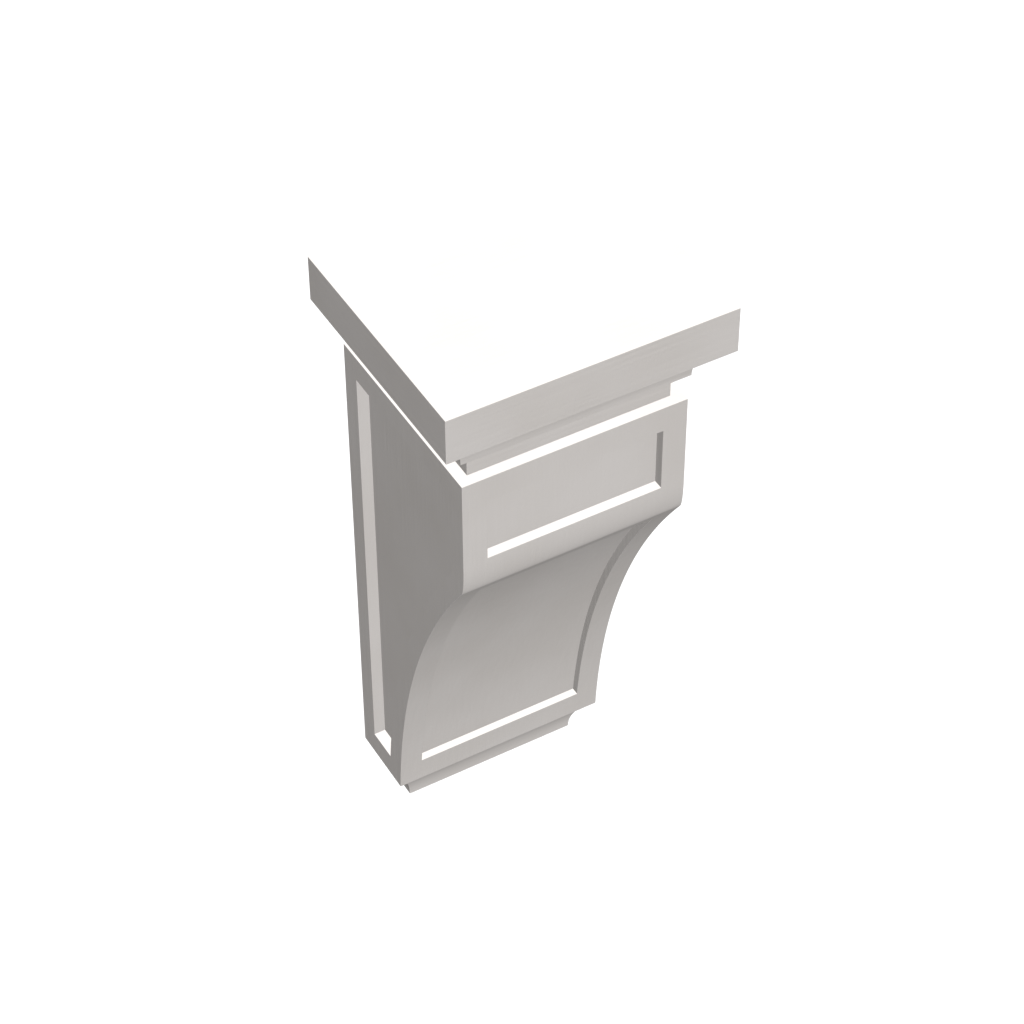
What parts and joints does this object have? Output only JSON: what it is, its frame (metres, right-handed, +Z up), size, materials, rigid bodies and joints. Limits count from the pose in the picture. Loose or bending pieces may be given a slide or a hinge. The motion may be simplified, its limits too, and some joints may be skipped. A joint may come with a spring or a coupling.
{
  "type": "decorative corbel",
  "caption": "Panelled timber corbel with a long hollow front, a moulded neck, a square cap board and a small foot moulding, fixed flat to a wall to carry a shelf or mantel.",
  "frame": {"origin": "middle of the body's flat back, where the corbel is fixed to the wall", "axes": "+Z up, +Y into the wall, the front faces -Y, +X to the right of someone who faces the front"},
  "size_m": [0.1604, 0.1377, 0.3816],
  "materials": {
    "painted_wood": "smooth matte off-white paint, rolled and brushed, with softly eased edges"
  },
  "bodies": {
    "root": {"corbel_body": "painted_wood", "neck_moulding": "painted_wood", "foot_moulding": "painted_wood", "cap_board": "painted_wood"}
  },
  "joints": []
}
